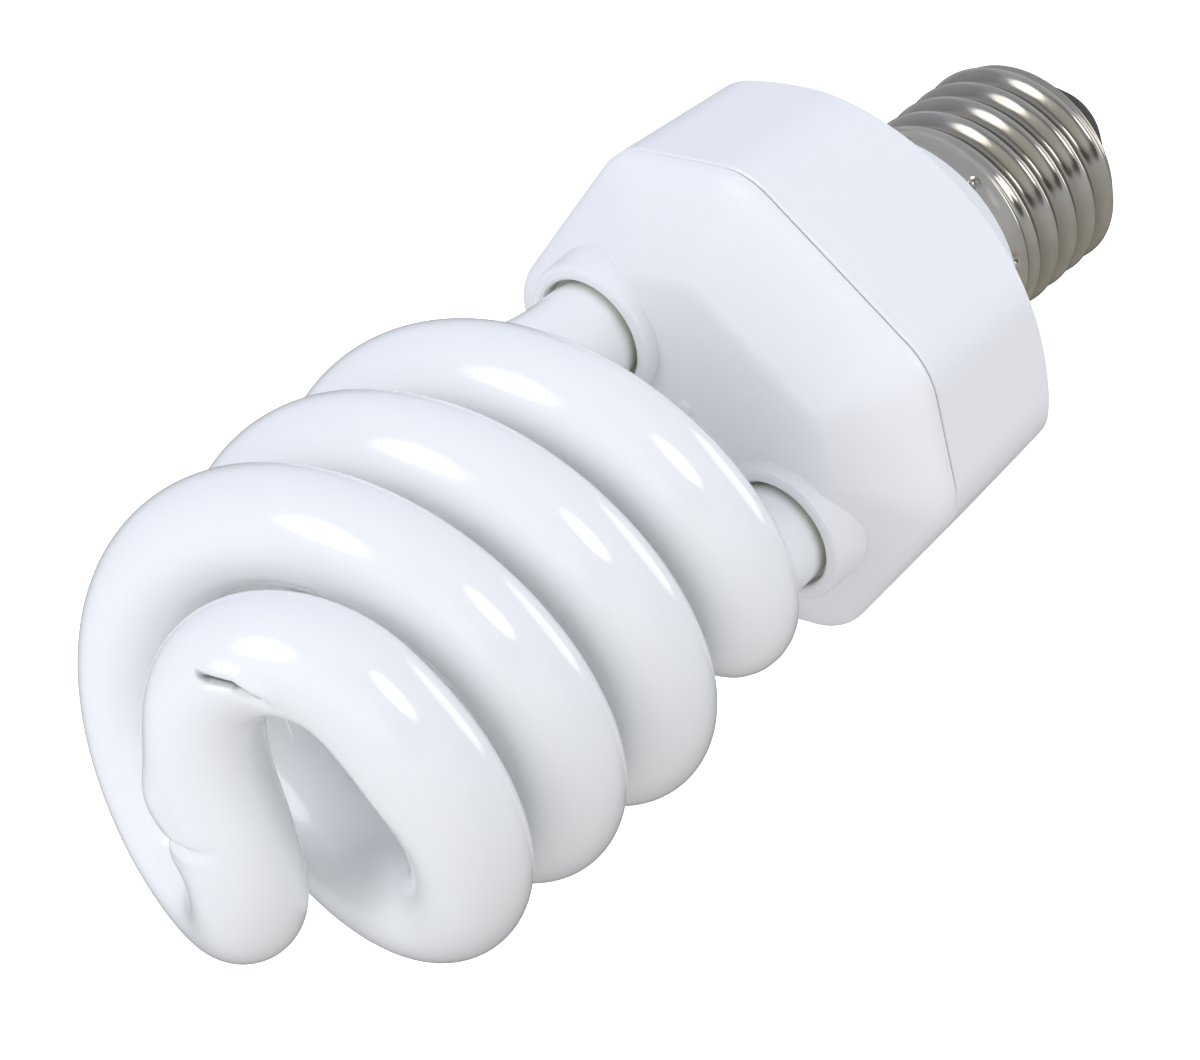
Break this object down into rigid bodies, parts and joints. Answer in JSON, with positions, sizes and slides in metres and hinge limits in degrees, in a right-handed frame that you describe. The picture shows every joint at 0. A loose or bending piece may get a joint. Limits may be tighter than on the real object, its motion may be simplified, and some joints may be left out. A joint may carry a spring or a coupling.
{
  "type": "spiral fluorescent lamp",
  "caption": "Screw-in energy saving lamp: a white double-spiral glass tube on an eight-sided plastic ballast housing with a threaded metal cap.",
  "frame": {"origin": "centre of the cap contact, on its flat end face", "axes": "+Z along the lamp axis from the cap to the glass tip, +X through the axes of the two tube ends"},
  "size_m": [0.0574, 0.0574, 0.1534],
  "materials": {
    "tube_glass": "gloss, white coating seen through clear glass",
    "housing_plastic": "satin white",
    "cap_metal": "bright nickel plate",
    "cap_black": "gloss black",
    "contact_metal": "tinned",
    "cement": "matt",
    "board": "satin brown",
    "capacitor_sleeve": "gloss dark sleeve",
    "ferrite": "matt dark grey",
    "bobbin_plastic": "satin black",
    "enamelled_copper": "gloss enamel",
    "black_epoxy": "matt",
    "film_brown": "gloss dip coat",
    "film_green": "gloss dip coat",
    "blue_lacquer": "gloss",
    "resistor_tan": "satin lacquer",
    "resistor_green": "satin lacquer",
    "tinned_wire": "tinned",
    "wire_red": "satin insulation"
  },
  "bodies": {
    "root": {"base_resistors": "resistor_tan", "cap_insulator": "cap_black", "centre_contact": "contact_metal", "choke_bobbin": "bobbin_plastic", "choke_core": "ferrite", "choke_winding": "enamelled_copper", "circuit_board": "board", "coupling_capacitor": "film_brown", "electrolytic_capacitor": "capacitor_sleeve", "filament_leads_left": "tinned_wire", "filament_leads_right": "tinned_wire", "fusible_resistor": "resistor_green", "glass_spiral_tube": "tube_glass", "input_choke_core": "ferrite", "input_choke_winding": "enamelled_copper", "live_lead": "wire_red", "neutral_lead": "tinned_wire", "rear_housing": "housing_plastic", "rectifier_diodes": "black_epoxy", "resonant_capacitor": "film_brown", "screw_shell": "cap_metal", "snubber_capacitor": "film_green", "start_resistor": "resistor_tan", "toroid_core": "ferrite", "toroid_windings": "enamelled_copper", "transistor_lower": "black_epoxy", "transistor_upper": "black_epoxy", "trigger_diac": "blue_lacquer", "tube_cement_left": "cement", "tube_cement_right": "cement", "tube_holder": "housing_plastic", "wire_wrap_pins": "tinned_wire"}
  },
  "joints": []
}
